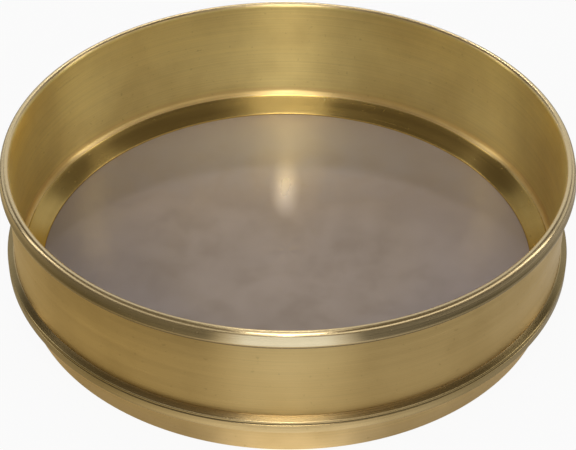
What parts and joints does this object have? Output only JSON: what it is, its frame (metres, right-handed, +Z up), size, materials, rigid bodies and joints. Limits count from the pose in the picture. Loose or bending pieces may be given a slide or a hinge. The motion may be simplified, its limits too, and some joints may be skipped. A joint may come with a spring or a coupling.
{
  "type": "test sieve",
  "caption": "Round laboratory test sieve with a hemmed brass frame, a fine wire cloth and a stepped skirt that stacks in the bore of a like sieve.",
  "frame": {"origin": "centre of the skirt's foot, on the axis, at the lowest point", "axes": "+Z up along the axis of the sieve to the rim; X and Y along the two directions of the cloth's wires"},
  "size_m": [0.2112, 0.2112, 0.0564],
  "materials": {
    "spun_brass": "brushed round the axis",
    "turned_brass": "fine turned",
    "ledge_brass": "turned, lightly tarnished",
    "woven_wire": "fine plain weave",
    "solder": "soft, wiped"
  },
  "bodies": {
    "root": {"frame_shell": "spun_brass", "collar_ring": "turned_brass", "cloth_ring": "ledge_brass", "wire_cloth": "woven_wire", "solder_seam": "solder"}
  },
  "joints": []
}
